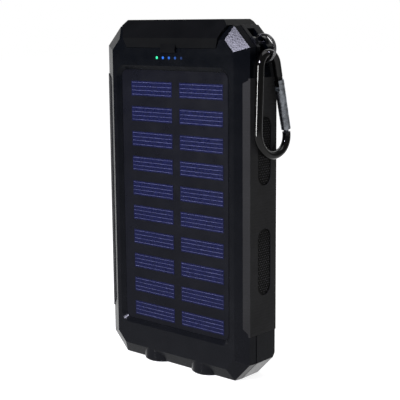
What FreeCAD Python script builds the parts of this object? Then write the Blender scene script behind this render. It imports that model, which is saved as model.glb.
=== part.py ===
"""Solar phone charger: a rugged octagonal power bank with a solar panel, torch and carabiner.

X is the width, Y runs from the panel face to the back, Z is up the long side.
The origin is the centre of the flat bottom that the charger stands on.
"""
import FreeCAD, Part
import math
import os
import re
import Sketcher

# The driving dimensions, in millimetres.
DIMENSIONS = {
    # outer case
    "case_width": (76.8, "overall width of the plastic case"),
    "case_height": (142, "overall height of the plastic case"),
    "case_depth": (20, "panel face to back"),
    "corner_x": (7.8, "corner cut, across"),
    "corner_z": (8.2, "corner cut, up"),
    "draft": (0.35, "front shell's taper from the parting to its bevel"),
    "bevel_x": (5.4, "front bevel, inset at the sides"),
    "bevel_z": (5.5, "front bevel, inset at top and bottom"),
    "bevel_depth": (3.2, "front bevel, depth"),
    "face_corner_x": (4.3, "corner cut of the front face, across"),
    "face_corner_z": (4.6, "corner cut of the front face, up"),
    "side_bevel": (0.8, "bevel of the back's sides"),
    "end_bevel": (2, "bevel of the back's ends and corners"),
    "parting": (-3, "Y of the joint between the shells"),
    "seam": (0.5, "width of the visible seam"),
    "seam_depth": (0.6, "depth of the visible seam"),
    "wall": (2.4, "side walls of the rear shell"),
    "back_wall": (2, "back wall of the rear shell"),
    "front_rim": (4.5, "width of the front shell's solid rim"),
    "front_web": (-5.9, "Y of the inside of the front shell's panel bed"),
    # solar panel
    "recess_half": (30.5, "half width of the panel recess"),
    "recess_low": (15.1, "lower edge of the panel recess"),
    "recess_high": (125.9, "upper edge of the panel recess"),
    "recess_radius": (4.5, "corner radius of the panel recess"),
    "recess_rim": (1.75, "width of the sloping rim"),
    "recess_depth": (1.5, "panel face below the front face"),
    "board_gap": (0.1, "gap round the solar board"),
    "board_thick": (1.2, "solar board"),
    "tape_thick": (0.2, "adhesive tape"),
    "cell_width": (22.75, "one solar cell, across"),
    "cell_height": (6.1, "one solar cell, up"),
    "cell_thick": (0.06, "cell above the board"),
    "cell_pitch": (10.49, "row to row"),
    "cell_row": (21.95, "centre of the lowest row"),
    "cell_left": (-11.9, "centre of the left column"),
    "cell_right": (14.85, "centre of the right column"),
    # indicators
    "lamp_z": (129.2, "height of the indicator row"),
    "lamp_x": (-0.5, "middle of the indicator row"),
    "lamp_pitch": (3.3, "indicator to indicator"),
    "lamp_radius": (0.55, "light guide"),
    # port cover
    "cover_half_low": (24, "half width of the cover at its lip"),
    "cover_half_middle": (26.4, "half width of the cover above its brow"),
    "cover_half_high": (28.2, "half width of the cover at the top of the case"),
    "cover_half_top": (25.8, "half width of the cover's top"),
    "cover_lip": (133.2, "height of the lip"),
    "cover_brow": (137.1, "height of the cover's front edge"),
    "cover_rise": (2.3, "cover above the case"),
    "cover_floor": (141, "floor of the cover's pocket"),
    "cover_gap": (0.15, "gap round the cover"),
    "tab_half": (3.9, "half width of the pull tab"),
    # ports
    "port_y": (0.5, "Y of the sockets' middle"),
    "usb_x": (15.5, "USB-A sockets from the middle"),
    "usb_width": (13.1, "USB-A socket shell, across"),
    "usb_thick": (5.7, "USB-A socket shell, front to back"),
    "usb_length": (14, "USB-A socket shell, length"),
    "micro_width": (7.6, "micro-USB socket shell, across"),
    "micro_thick": (2.9, "micro-USB socket shell, front to back"),
    "micro_length": (5.5, "micro-USB socket shell, length"),
    "sheet_metal": (0.3, "socket sheet metal"),
    "port_mouth": (140.6, "height of the sockets' mouths"),
    # side grips
    "grip_low": (20, "lower end of the grips"),
    "grip_high": (122, "upper end of the grips"),
    "grip_wrap": (0.44, "share of the front bevel under the grip"),
    "grip_proud": (0.3, "grip above the case"),
    "grip_sink": (0.8, "grip let into the case"),
    "grip_snip": (2.5, "cut corners of the grip"),
    "pill_y": (2, "Y of the pads' middle"),
    "pill_width": (8.3, "pad, front to back"),
    "pill_height": (27, "pad, up"),
    "pill_low": (49.2, "middle of the lower pad"),
    "pill_high": (93.5, "middle of the upper pad"),
    "pad_drop": (0.5, "pad below the grip"),
    # power button
    "button_width": (5.4, "button, front to back"),
    "button_height": (13, "button, up"),
    "button_gap": (0.25, "gap round the button"),
    # fasteners
    "screw_x": (31.2, "screws from the middle"),
    "screw_radius": (1.2, "screw thread"),
    "screw_head": (2.5, "screw head radius"),
    "boss_radius": (2.8, "screw boss"),
    # torches
    "torch_x": (13.4, "torches from the middle"),
    "torch_y": (-2, "Y of the torches' axes"),
    "torch_radius": (8, "torch bezel"),
    "torch_bore": (6.6, "inside of the bezel"),
    "torch_height": (5.4, "height of the bezel"),
    # electronics
    "circuit_y": (3.4, "front of the main board"),
    "circuit_thick": (1.6, "main board"),
    "battery_half": (27.5, "half width of the battery"),
    "battery_low": (18, "lower end of the battery"),
    "battery_high": (98, "upper end of the battery"),
    "battery_thick": (5.2, "one battery pouch"),
    "battery_front": (-4.6, "Y of the front pouch's face"),
    "foam_thick": (0.4, "foam between the pouches"),
    # lanyard loop and carabiner
    "pin_x": (35, "lanyard pin"),
    "pin_z": (135, "lanyard pin"),
    "pin_radius": (0.9, "lanyard pin"),
    "lug_y": (1.5, "middle of the lanyard lug"),
    "lug_radius": (2.65, "lug about the pin"),
    "lug_half": (4.0, "half thickness of the lug"),
    "slot_half": (2.25, "half width of the slot in the lug"),
    "slot_radius": (6.35, "slot about the ring"),
    "ring_x": (38.3, "centre of the split ring"),
    "ring_z": (133.1, "centre of the split ring"),
    "ring_radius": (5.35, "split ring, to the wire's middle"),
    "ring_wire": (0.36, "split ring wire radius"),
    "ring_pitch": (0.8, "split ring, turn to turn"),
    "ring_swing": (80, "how far the ring lifts, degrees"),
    "clip_x": (41, "plane of the carabiner"),
    "clip_wire": (1.65, "carabiner wire radius"),
    "clip_top_y": (0.95, "upper bend's centre"),
    "clip_top_z": (126, "upper bend's centre"),
    "clip_top_radius": (5.3, "upper bend, to the wire's middle"),
    "clip_low_y": (4.55, "lower bend's centre"),
    "clip_low_z": (101.8, "lower bend's centre"),
    "clip_low_radius": (10, "lower bend, to the wire's middle"),
    "clip_nose_radius": (6.6, "tighter bend up to the nose, to the wire's middle"),
    "clip_nose_turn": (-60, "where the tighter bend begins, degrees above +Y"),
    "gate_top": (119.4, "height of the gate's pivot"),
    "gate_length": (18.4, "gate from its pivot to its tip"),
    "gate_head": (1.6, "gate beyond its pivot"),
    "gate_radius": (1.95, "gate radius"),
    "gate_slot": (1, "half width of the slot in the gate's head"),
    "gate_blade": (0.6, "half thickness of the blade at the gate's tip"),
    "eye_radius": (1.5, "flattened end of the wire, about the pivot"),
    "eye_half": (0.75, "half thickness of the flattened end"),
    "rivet_radius": (0.6, "gate rivet"),
    "nose_gap": (0.4, "gap between the gate's end and the nose"),
    "nose_length": (1.6, "blade's reach into the nose"),
    "spring_radius": (0.75, "gate spring, to the wire's middle"),
    "spring_wire": (0.15, "gate spring wire radius"),
    "spring_pitch": (0.8, "gate spring, turn to turn"),
}

doc = FreeCAD.newDocument("solar_charger")
sheet = doc.addObject("Spreadsheet::Sheet", "dims")
for row, (alias, (number, note)) in enumerate(DIMENSIONS.items(), start=1):
    sheet.set(f"A{row}", note)
    sheet.set(f"B{row}", str(number))
    sheet.setAlias(f"B{row}", alias)
doc.recompute()

NORMAL_SIGN = {"XY": 1, "YZ": 1, "XZ": -1}
TURN = {
    "z": FreeCAD.Rotation(),
    "x": FreeCAD.Rotation(FreeCAD.Vector(0, 0, 1), FreeCAD.Vector(1, 0, 0)),
    "y": FreeCAD.Rotation(FreeCAD.Vector(0, 0, 1), FreeCAD.Vector(0, 1, 0)),
}


# Formulas: text in the sheet's words, such as "case_width/2 - wall".

def ref(formula):
    """The formula as an expression on the spreadsheet."""
    def word(found):
        return "dims." + found.group() if found.group() in DIMENSIONS else found.group()
    return re.sub(r"[a-z][a-z_0-9]*", word, str(formula))


def value(formula):
    """The formula's number."""
    return float(sheet.evalExpression(ref(formula)))


def place(obj, at, along="z"):
    """Turn an object's own Z to an axis and bind its position."""
    obj.Placement = FreeCAD.Placement(FreeCAD.Vector(), TURN[along])
    for axis, formula in zip("xyz", at):
        obj.setExpression("Placement.Base." + axis, ref(formula))
    return obj


# Sketches and PartDesign features.

def body(label):
    return doc.addObject("PartDesign::Body", label)


def sketch(owner, plane, level):
    """A sketch on one of the body's origin planes, moved to a level along the plane's axis."""
    drawing = owner.newObject("Sketcher::SketchObject", owner.Label + "_sketch")
    support = next(f for f in owner.Origin.OriginFeatures if f.Role == plane + "_Plane")
    drawing.AttachmentSupport = [(support, "")]
    drawing.MapMode = "FlatFace"
    drawing.setExpression("AttachmentOffset.Base.z", ref(f"{NORMAL_SIGN[plane]}*({level})"))
    return drawing


def bind(drawing, kind, *target, formula):
    """Add a dimension to the sketch and bind it to its formula."""
    index = drawing.addConstraint(Sketcher.Constraint(kind, *target, value(formula)))
    drawing.setExpression(f"Constraints[{index}]", ref(formula))


def polygon(drawing, corners):
    """A closed outline of straight edges through corners given as pairs of formulas."""
    points = [FreeCAD.Vector(value(a), value(b), 0) for a, b in corners]
    last = len(corners) - 1
    for index, point in enumerate(points):
        drawing.addGeometry(Part.LineSegment(point, points[0 if index == last else index + 1]))
    for index in range(len(corners)):
        drawing.addConstraint(Sketcher.Constraint("Coincident", index, 2, (index + 1) % len(corners), 1))
    for index, (a, b) in enumerate(corners):
        bind(drawing, "DistanceX", -1, 1, index, 1, formula=a)
        bind(drawing, "DistanceY", -1, 1, index, 1, formula=b)
    return drawing


def rounded(drawing, low, high, radius):
    """A rectangle with rounded corners between two opposite corners."""
    (x0, y0), (x1, y1) = low, high
    centres = [(f"{x0} + {radius}", f"{y0} + {radius}"), (f"{x1} - ({radius})", f"{y0} + {radius}"),
               (f"{x1} - ({radius})", f"{y1} - ({radius})"), (f"{x0} + {radius}", f"{y1} - ({radius})")]
    for index, (a, b) in enumerate(centres):
        circle = Part.Circle(FreeCAD.Vector(value(a), value(b), 0), FreeCAD.Vector(0, 0, 1), value(radius))
        start = math.pi * (1 + index / 2)
        drawing.addGeometry(Part.ArcOfCircle(circle, start, start + math.pi / 2))
    for index in range(4):
        first, second = drawing.Geometry[index], drawing.Geometry[(index + 1) % 4]
        drawing.addGeometry(Part.LineSegment(first.EndPoint, second.StartPoint))
    for index in range(4):
        drawing.addConstraint(Sketcher.Constraint("Tangent", index, 2, 4 + index, 1))
        drawing.addConstraint(Sketcher.Constraint("Tangent", 4 + index, 2, (index + 1) % 4, 1))
    for index, (a, b) in enumerate(centres):
        bind(drawing, "DistanceX", -1, 1, index, 3, formula=a)
        bind(drawing, "DistanceY", -1, 1, index, 3, formula=b)
        bind(drawing, "Radius", index, formula=radius)
    return drawing


def feature(owner, kind, drawing, low, high):
    """Pad or pocket the sketch from low to high along its plane's axis."""
    result = owner.newObject("PartDesign::" + kind, f"{owner.Label}_{kind.lower()}")
    result.Profile = drawing
    result.setExpression("Length", ref(f"{high} - ({low})"))
    result.Reversed = kind == "Pocket"
    drawing.Visibility = False
    return result


def start_level(plane, low, high):
    return high if NORMAL_SIGN[plane] < 0 else low


def pad(owner, plane, low, high, corners):
    outline = polygon(sketch(owner, plane, start_level(plane, low, high)), corners)
    return feature(owner, "Pad", outline, low, high)


def pocket(owner, plane, low, high, corners):
    drawing = polygon(sketch(owner, plane, start_level(plane, low, high)), corners)
    return feature(owner, "Pocket", drawing, low, high)


def round_pad(owner, plane, low, high, start, end, radius):
    drawing = rounded(sketch(owner, plane, start_level(plane, low, high)), start, end, radius)
    return feature(owner, "Pad", drawing, low, high)


def round_pocket(owner, plane, low, high, start, end, radius):
    drawing = rounded(sketch(owner, plane, start_level(plane, low, high)), start, end, radius)
    return feature(owner, "Pocket", drawing, low, high)


def loft(owner, kind, first, second):
    """An additive or subtractive loft between two sketches."""
    result = owner.newObject("PartDesign::" + kind, f"{owner.Label}_{kind.lower()}")
    result.Profile = first
    result.Sections = [(second, [""])]
    return result


def dress(owner, kind, size, chosen):
    """Fillet or chamfer the edges of the body's tip that the test chooses."""
    doc.recompute()
    tip = owner.Tip
    edges = [f"Edge{n}" for n, edge in enumerate(tip.Shape.Edges, start=1) if chosen(edge)]
    result = owner.newObject("PartDesign::" + kind, f"{owner.Label}_{kind.lower()}")
    result.Base = (tip, edges)
    result.setExpression("Radius" if kind == "Fillet" else "Size", ref(size))
    return result


def turned(label, outline, at=("0", "0", "0"), along="z"):
    """A body turned about its own Z from an outline of (radius, height) formulas."""
    owner = body(label)
    drawing = polygon(sketch(owner, "XZ", "0"), outline)
    spin = owner.newObject("PartDesign::Revolution", label + "_revolution")
    spin.Profile = drawing
    spin.ReferenceAxis = (drawing, ["V_Axis"])
    spin.Angle = 360
    return place(owner, at, along)


# Part primitives and booleans.

def box(label, size, at):
    obj = doc.addObject("Part::Box", label)
    for side, formula in zip(("Length", "Width", "Height"), size):
        obj.setExpression(side, ref(formula))
    return place(obj, at)


def rod(label, radius, length, at, along="z"):
    obj = doc.addObject("Part::Cylinder", label)
    obj.setExpression("Radius", ref(radius))
    obj.setExpression("Height", ref(length))
    return place(obj, at, along)


def join(label, *parts):
    obj = doc.addObject("Part::MultiFuse", label)
    obj.Shapes = list(parts)
    obj.Refine = True
    return obj


def common(label, *parts):
    obj = doc.addObject("Part::MultiCommon", label)
    obj.Shapes = list(parts)
    return obj


def cut(label, base, *tools):
    obj = doc.addObject("Part::Cut", label)
    obj.Base = base
    obj.Tool = tools[0] if len(tools) == 1 else join(label + "_tools", *tools)
    obj.Refine = True
    return obj


def group(label, parts):
    """Identical separate solids that share one sub-part."""
    obj = doc.addObject("Part::Compound", label)
    obj.Links = list(parts)
    return obj


def tube(label, radius, points, bend):
    """A round wire along straight runs joined by arcs of one bend radius."""
    corners = [FreeCAD.Vector(*(value(c) for c in point)) for point in points]
    edges = []
    start = corners[0]
    for before, corner, after in zip(corners, corners[1:], corners[2:]):
        into = (corner - before).normalize()
        out = (after - corner).normalize()
        half = into.getAngle(out) / 2
        reach = bend * math.tan(half)
        first, last = corner - into * reach, corner + out * reach
        middle = corner + (out - into).normalize() * (bend / math.cos(half) - bend)
        edges.append(Part.LineSegment(start, first).toShape())
        edges.append(Part.Arc(first, middle, last).toShape())
        start = last
    edges.append(Part.LineSegment(start, corners[-1]).toShape())
    spine = Part.Wire(edges)
    heading = (corners[1] - corners[0]).normalize()
    section = Part.Wire([Part.Circle(corners[0], heading, value(radius)).toShape()])
    obj = doc.addObject("Part::Feature", label)
    obj.Shape = spine.makePipeShell([section], True, True)
    return obj


# Outlines of the case.

def octagon(half, low, high, cut_x, cut_z):
    """An upright octagon: a rectangle with its four corners cut."""
    right = [(f"{half} - ({cut_x})", low), (half, f"{low} + {cut_z}"),
             (half, f"{high} - ({cut_z})"), (f"{half} - ({cut_x})", high)]
    left = [(f"-({x})", z) for x, z in reversed(right)]
    return right + left


def case_octagon(inset):
    """The case's outline, moved inwards by an even wall."""
    shrink = f"({inset})*(2 - sqrt(2))"
    return octagon(f"case_width/2 - ({inset})", inset, f"case_height - ({inset})",
                   f"corner_x - {shrink}", f"corner_z - {shrink}")


def rectangle(x0, z0, x1, z1):
    return [(x0, z0), (x1, z0), (x1, z1), (x0, z1)]


FRONT, BACK = "-case_depth/2", "case_depth/2"
SHOULDER = f"{FRONT} + bevel_depth"
SHOULDER_HALF = "(case_width/2 - draft)"
SIDES = {"left": "-1*", "right": ""}
SCREW_HEIGHTS = ("15", "71", "125")
TOP_CAVITY = "case_height - wall"


# Shared shapes: rooms that the shells leave for other parts.

def cover_room(label, gap):
    """The space of the port cover: its side section, limited to its front outline."""
    lip = f"cover_lip - ({gap})"
    top = "case_height + cover_rise"
    profile = body(label + "_profile")
    inner = [(f"{FRONT} + 1.4", lip), (f"{FRONT} + 1.4", "cover_brow - 0.6"),
             (f"{SHOULDER} + 0.7", "cover_floor"), (f"{BACK} + ({gap})*10", "cover_floor")]
    if gap == "0":
        outer = [(BACK, f"{top} - 1"), (f"{BACK} - 1", top), (f"{SHOULDER} - 0.5", top),
                 (f"{FRONT} - 1", "cover_brow"), (f"{FRONT} - 0.15", "cover_lip")]
    else:
        outer = [(f"{BACK} + ({gap})*10", "case_height + 4"), (f"{FRONT} - 2", "case_height + 4"),
                 (f"{FRONT} - 2", lip)]
    pad(profile, "YZ", "-case_width/2", "case_width/2", inner + outer)
    front = body(label + "_front")
    ends = [(f"cover_half_low + ({gap})", lip), (f"cover_half_middle + ({gap})", "cover_brow + 2.3"),
            (f"cover_half_high + ({gap})", "case_height")]
    if gap == "0":
        ends.append(("cover_half_top", top))
    else:
        ends.append((f"cover_half_high + ({gap})", "case_height + 4"))
    pad(front, "XZ", "-case_depth", "case_depth",
        ends + [(f"-({x})", z) for x, z in reversed(ends)])
    return common(label, profile, front)


def grip_corner(offset, front):
    """Where the grip's surface, at an offset from the case, turns onto a bevel (side corner)."""
    if front:
        run = "sqrt(bevel_x^2 + bevel_depth^2)"
        return (f"{SHOULDER_HALF} + ({offset})",
                f"{SHOULDER} - ({offset})*({run} - bevel_depth)/bevel_x")
    return f"case_width/2 + ({offset})", f"{BACK} - side_bevel + ({offset})*(sqrt(2) - 1)"


def grip_end(offset, front):
    """Where the grip's surface ends, part of the way along a bevel."""
    if front:
        run = "sqrt(bevel_x^2 + bevel_depth^2)"
        return (f"{SHOULDER_HALF} - bevel_x*grip_wrap + ({offset})*bevel_depth/{run}",
                f"{SHOULDER} - bevel_depth*grip_wrap - ({offset})*bevel_x/{run}")
    return (f"case_width/2 - side_bevel/2 + ({offset})/sqrt(2)",
            f"{BACK} - side_bevel/2 + ({offset})/sqrt(2)")


def grip_section(outer):
    """The grip's section: its bonded surface and an outer surface at an offset."""
    inner = "-grip_sink"
    return [grip_end(inner, True), grip_corner(inner, True), grip_corner(inner, False),
            grip_end(inner, False), grip_end(outer, False), grip_corner(outer, False),
            grip_corner(outer, True), grip_end(outer, True)]


def mirrored(points, side):
    """Points with their first coordinate on the named side, kept in order round the outline."""
    if side == "right":
        return points
    return [(f"-1*({x})", y) for x, y in reversed(points)]


def grip_solid(label, side, outer):
    """A grip, or the room for one, with the two snipped corners on the front bevel."""
    owner = body(label)
    pad(owner, "XY", "grip_low", "grip_high", mirrored(grip_section(outer), side))
    edge = f"{SHOULDER_HALF} - bevel_x*grip_wrap - grip_sink"
    for tip, base in (("grip_high", "grip_high - grip_snip"), ("grip_low", "grip_low + grip_snip*1.8")):
        snip = [(edge, tip), (edge, base), ("case_width/2 + grip_proud", tip)]
        if tip == "grip_high":
            snip.reverse()
        pocket(owner, "XZ", f"{FRONT} - 1", f"{SHOULDER} - 0.3", mirrored(snip, side))
    return owner


def pill(label, side, low, high, height, grow="0", size=("pill_width", "pill_height")):
    """An upright pill-shaped block between two distances from the middle of the case."""
    owner = body(label)
    width, tall = (f"({extent} + 2*({grow}))" for extent in size)
    start, end = (low, high) if side == "right" else (f"-({high})", f"-({low})")
    round_pad(owner, "YZ", start, end, (f"pill_y - {width}/2", f"{height} - {tall}/2"),
              (f"pill_y + {width}/2", f"{height} + {tall}/2"), f"{width}*0.48")
    return owner


def lanyard_slot():
    """The slot that the split ring turns in: its disc at several points of its swing."""
    discs = []
    reach = "sqrt((ring_x - pin_x)^2 + (ring_z - pin_z)^2)"
    rest = math.degrees(math.atan2(value("ring_z - pin_z"), value("ring_x - pin_x")))
    steps = 5
    for step in range(steps + 1):
        turn = f"({rest} + ring_swing*{step}/{steps})"
        at = (f"pin_x + {reach}*cos({turn})", "lug_y - slot_half", f"pin_z + {reach}*sin({turn})")
        discs.append(rod(f"slot_disc_{step}", "slot_radius", "slot_half*2", at, "y"))
    return join("lanyard_slot", *discs)


def screw_tools(label, radius, low, high):
    """Rods along Y at every screw."""
    rods = []
    for side, sign in SIDES.items():
        for number, height in enumerate(SCREW_HEIGHTS):
            at = (f"{sign}screw_x", low, height)
            rods.append(rod(f"{label}_{side}_{number}", radius, f"{high} - ({low})", at, "y"))
    return rods


def torch_rods(label, radius, low, high):
    return [rod(f"{label}_{side}", radius, f"{high} - ({low})", (f"{sign}torch_x", "torch_y", low))
            for side, sign in SIDES.items()]


def seam_groove():
    """The groove round the case where the shells meet."""
    outside = body("seam_outside")
    pad(outside, "XZ", "parting - seam/2", "parting + seam/2", case_octagon("-1"))
    inside = body("seam_inside")
    pad(inside, "XZ", "parting - seam", "parting + seam", case_octagon("seam_depth"))
    return cut("seam_groove", outside, inside)


def gasket(label, grow):
    """The seal between the shells, or the room for it."""
    outer = body(label + "_outer")
    pad(outer, "XZ", f"parting - 0.4 - {grow}", f"parting + 0.4 + {grow}", case_octagon("1.1"))
    inner = body(label + "_inner")
    pad(inner, "XZ", "parting - 1", "parting + 1", case_octagon("1.9"))
    bezels = torch_rods(label + "_bezel", "torch_radius", "-1", "torch_height")
    return cut(label, outer, inner, *bezels)


# Case.

def front_shell(rooms):
    """The front shell: bevelled face, panel recess, panel bed, rooms for the lamps and torches."""
    owner = body("front_moulding")
    parting = polygon(sketch(owner, "XZ", "parting"), case_octagon("0"))
    shoulder = polygon(sketch(owner, "XZ", SHOULDER), case_octagon("draft"))
    loft(owner, "AdditiveLoft", parting, shoulder)
    face = polygon(sketch(owner, "XZ", FRONT),
                   octagon(f"{SHOULDER_HALF} - bevel_x", "bevel_z", "case_height - bevel_z",
                           "face_corner_x", "face_corner_z"))
    loft(owner, "AdditiveLoft", shoulder, face)
    opening = rounded(sketch(owner, "XZ", FRONT), ("-recess_half", "recess_low"),
                      ("recess_half", "recess_high"), "recess_radius")
    floor_low = ("-recess_half + recess_rim", "recess_low + recess_rim")
    floor_high = ("recess_half - recess_rim", "recess_high - recess_rim")
    floor = rounded(sketch(owner, "XZ", f"{FRONT} + recess_depth"), floor_low, floor_high,
                    "recess_radius - recess_rim")
    loft(owner, "SubtractiveLoft", opening, floor)
    round_pocket(owner, "XZ", f"{FRONT} + recess_depth",
                 f"{FRONT} + recess_depth + board_thick + tape_thick", floor_low, floor_high,
                 "recess_radius - recess_rim")
    pocket(owner, "XZ", "front_web", "parting", case_octagon("front_rim"))
    pocket(owner, "XZ", f"{FRONT} + 2", "front_web",
           rectangle("lamp_x - 12", "lamp_z - 1.8", "lamp_x + 12", "lamp_z + 2.2"))
    lamps = [rod(f"lamp_bore_{n}", "lamp_radius", "4",
                 (f"lamp_x + lamp_pitch*{n - 2}", f"{FRONT} - 1", "lamp_z"), "y") for n in range(5)]
    wires = [rod(f"wire_bore_{n}", "1.2", "3", (f"{4 * n - 2}", "front_web - 2", "24"), "y")
             for n in range(2)]
    room = [*screw_tools("pilot_bore", "screw_radius", "front_web - 0.6", "parting + 1"),
            *torch_rods("front_bezel_room", "torch_radius", "-1", "torch_height"),
            *torch_rods("front_reflector_room", "torch_bore", "torch_height - 1", "13.6")]
    return cut("front_shell", owner, *lamps, *wires, *room, *rooms)


def rear_shell(rooms):
    """The rear shell: a tub with screw bosses, the lanyard lug and the port openings."""
    owner = body("rear_moulding")
    pad(owner, "XZ", "parting", BACK, case_octagon("0"))
    back, side = value(BACK), value("case_width/2")

    def on_back(edge):
        return all(abs(v.Y - back) < 1e-6 for v in edge.Vertexes)

    def at_side(edge):
        return all(abs(abs(v.X) - side) < 1e-6 for v in edge.Vertexes)

    dress(owner, "Chamfer", "side_bevel", lambda e: on_back(e) and at_side(e))
    dress(owner, "Chamfer", "end_bevel", lambda e: on_back(e) and e.BoundBox.XLength > 1)
    pocket(owner, "XZ", "parting", f"{BACK} - back_wall", case_octagon("wall"))
    bosses = screw_tools("boss", "boss_radius", "parting", f"{BACK} - back_wall/2")
    lug_low = "lug_y - lug_half"
    lug = rod("lug", "lug_radius", "lug_half*2", ("pin_x", lug_low, "pin_z"), "y")
    lug_block = rod("lug_block", "slot_radius + 1.3", "lug_half*2", ("ring_x", lug_low, "ring_z"), "y")
    corner = body("lug_corner")
    pad(corner, "XZ", lug_low, "lug_y + lug_half", case_octagon("wall/2"))
    web = common("lug_web", lug_block, corner)
    usb_rooms = [box(f"usb_room_{side}", ("usb_width + 0.2", "usb_thick + 0.2", "4"),
                     (f"{sign}usb_x - usb_width/2 - 0.1", "port_y - usb_thick/2 - 0.1", "cover_floor - 3"))
                 for side, sign in SIDES.items()]
    micro_room = box("micro_room", ("micro_width + 0.2", "micro_thick + 0.2", "4"),
                     ("-micro_width/2 - 0.1", "port_y - micro_thick/2 - 0.1", "cover_floor - 3"))
    button_room = pill("button_room", "left", "case_width/2 - 1.6", "case_width/2", "pill_high",
                       "button_gap", ("button_width", "button_height"))
    stem_bore = rod("stem_bore", "1.65", "5", ("-case_width/2", "pill_y", "pill_high"), "x")
    strap_room = box("strap_room", ("40", "1.6", "6.5"), ("-20", f"{BACK} - 1.4", "cover_floor - 6.3"))
    tools = [*usb_rooms, micro_room, button_room, stem_bore, strap_room,
             *screw_tools("screw_bore", "screw_radius + 0.2", "parting - 1", BACK),
             *screw_tools("head_bore", "screw_head + 0.2", f"{BACK} - 1.8", f"{BACK} + 1"),
             *torch_rods("rear_bezel_room", "torch_radius", "-1", "wall + 1"),
             lanyard_slot(),
             rod("pin_bore", "pin_radius", "lug_half*2 + 2", ("pin_x", f"{lug_low} - 1", "pin_z"), "y")]
    return cut("rear_shell", join("rear_solid", owner, *bosses, lug, web), *tools, *rooms)


def screws():
    """Cross-head self-tapping screws, put in from the back."""
    solids = []
    for side, sign in SIDES.items():
        for number, height in enumerate(SCREW_HEIGHTS):
            name = f"screw_{side}_{number}"
            x = f"{sign}screw_x"
            shank = rod(name + "_shank", "screw_radius", f"{BACK} - 1.8 - front_web",
                        (x, "front_web", height), "y")
            head = rod(name + "_head", "screw_head", "1.4", (x, f"{BACK} - 1.8", height), "y")
            slot_a = box(name + "_slot_a", ("3", "1", "0.7"),
                         (f"{x} - 1.5", f"{BACK} - 1.2", f"{height} - 0.35"))
            slot_b = box(name + "_slot_b", ("0.7", "1", "3"),
                         (f"{x} - 0.35", f"{BACK} - 1.2", f"{height} - 1.5"))
            solids.append(cut(name, join(name + "_solid", shank, head), slot_a, slot_b))
    return group("housing_screws", solids)


def port_cover():
    """The rubber cover over the ports, with its pull tab, centre groove and hollowed underside."""
    tab = body("cover_tab")
    pad(tab, "YZ", "lamp_x - tab_half", "lamp_x + tab_half",
        [(f"{FRONT} - 0.02", "cover_lip - 1.9"), (f"{FRONT} - 0.02", "cover_lip + 1"),
         (f"{FRONT} + 1.4", "cover_lip + 1"), (f"{FRONT} + 1.4", "cover_lip + 2"),
         (f"{FRONT} - 0.4", "cover_lip + 2"), (f"{FRONT} - 1", "cover_lip - 1"),
         (f"{FRONT} - 0.7", "cover_lip - 1.9")])
    solid = join("cover_solid", cover_room("cover_form", "0"), tab)
    groove = box("cover_groove", ("1", "10", "8"), ("lamp_x - 0.5", f"{SHOULDER} - 9.5", "cover_brow"))
    groove_limit = cover_room("groove_limit", "-0.5")
    hollow = box("cover_hollow", ("50", "14", "1"), ("-25", "-5", "cover_floor - 0.4"))
    feet = [box(f"cover_foot_{name}", (f"{width} + 3", f"{thick} + 2", "1"),
                (f"{x} - ({width} + 3)/2", f"port_y - ({thick} + 2)/2", "cover_floor"))
            for name, x, width, thick in (("left", "-usb_x", "usb_width", "usb_thick"),
                                          ("middle", "0", "micro_width", "micro_thick"),
                                          ("right", "usb_x", "usb_width", "usb_thick"))]
    relief = cut("cover_relief", hollow, *feet)
    return cut("port_cover", solid, cut("cover_groove_cut", groove, groove_limit), relief)


def port_cover_strap():
    """The fixed end of the cover, held in the back of the rear shell."""
    return box("port_cover_strap", ("39.8", "1.4", "6.2"), ("-19.9", f"{BACK} - 1.4", "cover_floor - 6.25"))


def grips():
    """The two rubber side grips, each with two pill-shaped windows."""
    result = []
    for side in SIDES:
        windows = [pill(f"{side}_window_{name}", side, "case_width/2 - 3", "case_width/2 + 2", height)
                   for name, height in (("low", "pill_low"), ("high", "pill_high"))]
        result.append(cut(f"{side}_grip", grip_solid(f"{side}_grip_strip", side, "grip_proud"), *windows))
    return result


def grip_pads():
    """The dotted pads in the grips' windows; the upper left one surrounds the power button."""
    low, high = "case_width/2 - grip_sink", "case_width/2 + grip_proud - pad_drop"
    result = []
    for side in SIDES:
        pads = [pill(f"{side}_pad_{name}", side, low, high, height, "-0.05")
                for name, height in (("low", "pill_low"), ("high", "pill_high"))]
        if side == "left":
            window = pill("button_window", side, "case_width/2 - 3", "case_width/2 + 2", "pill_high",
                          "button_gap", ("button_width", "button_height"))
            pads[1] = cut("left_pad_ring", pads[1], window)
        result.append(group(f"{side}_grip_pads", pads))
    return result


def power_button():
    """The power button: a pill-shaped cap with a stem through the wall."""
    cap = pill("button_cap", "left", "case_width/2 - 0.8", "case_width/2 + grip_proud", "pill_high", "0",
               ("button_width", "button_height"))
    outer = value("-case_width/2 - grip_proud")
    dress(cap, "Fillet", "0.3", lambda e: all(abs(v.X - outer) < 1e-6 for v in e.Vertexes))
    stem = rod("button_stem", "1.4", "2.4", ("-case_width/2 + 0.6", "pill_y", "pill_high"), "x")
    return join("power_button", cap, stem)


# Solar panel.

def solar_board():
    owner = body("solar_board")
    gap = "(recess_rim + board_gap)"
    round_pad(owner, "XZ", f"{FRONT} + recess_depth", f"{FRONT} + recess_depth + board_thick",
              (f"-recess_half + {gap}", f"recess_low + {gap}"),
              (f"recess_half - {gap}", f"recess_high - {gap}"), "recess_radius - recess_rim")
    return owner


def solar_cells():
    cells = []
    for column in ("left", "right"):
        for row in range(10):
            at = (f"cell_{column} - cell_width/2", f"{FRONT} + recess_depth - cell_thick",
                  f"cell_row + cell_pitch*{row} - cell_height/2")
            cells.append(box(f"cell_{column}_{row}", ("cell_width", "cell_thick", "cell_height"), at))
    return group("solar_cells", cells)


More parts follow.
